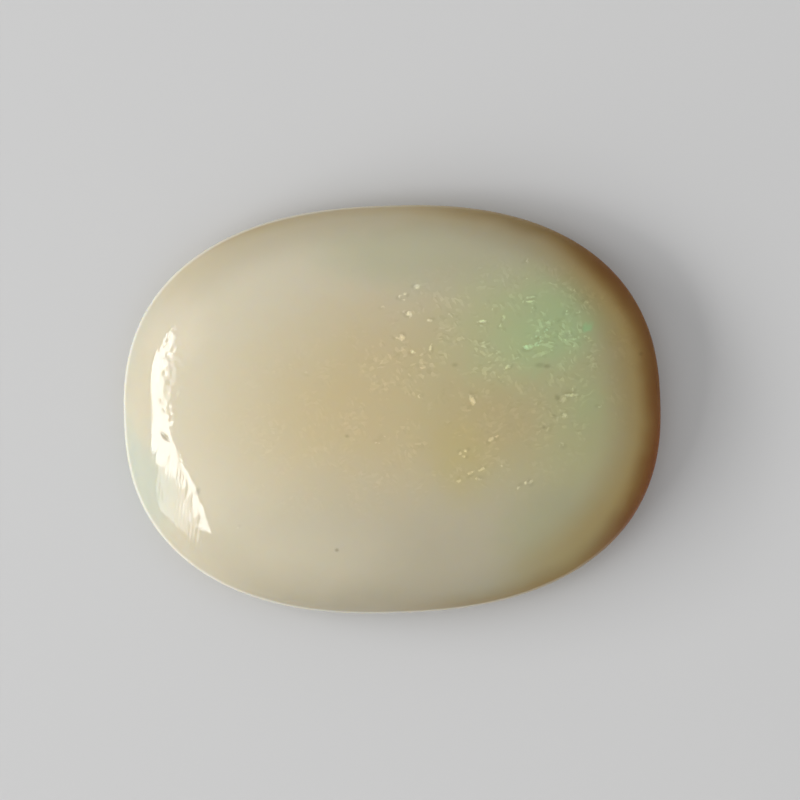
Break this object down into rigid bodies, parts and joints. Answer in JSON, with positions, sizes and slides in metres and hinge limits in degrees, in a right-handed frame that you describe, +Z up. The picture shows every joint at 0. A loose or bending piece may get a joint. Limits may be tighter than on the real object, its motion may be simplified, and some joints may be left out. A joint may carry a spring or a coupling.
{
  "type": "opal cabochon",
  "caption": "Oval opal cabochon: milky white opal with a low polished dome, a narrow rounded girdle and a bevelled flat back, for setting in jewellery or for display.",
  "frame": {"origin": "the middle of the flat back, on the surface that the stone rests on", "axes": "+X along the stone's length, +Y across its width, +Z up from the back through the top of the dome"},
  "size_m": [0.016, 0.0122, 0.0034],
  "materials": {
    "opal": "polished"
  },
  "bodies": {
    "root": {"opal_stone": "opal"}
  },
  "joints": []
}
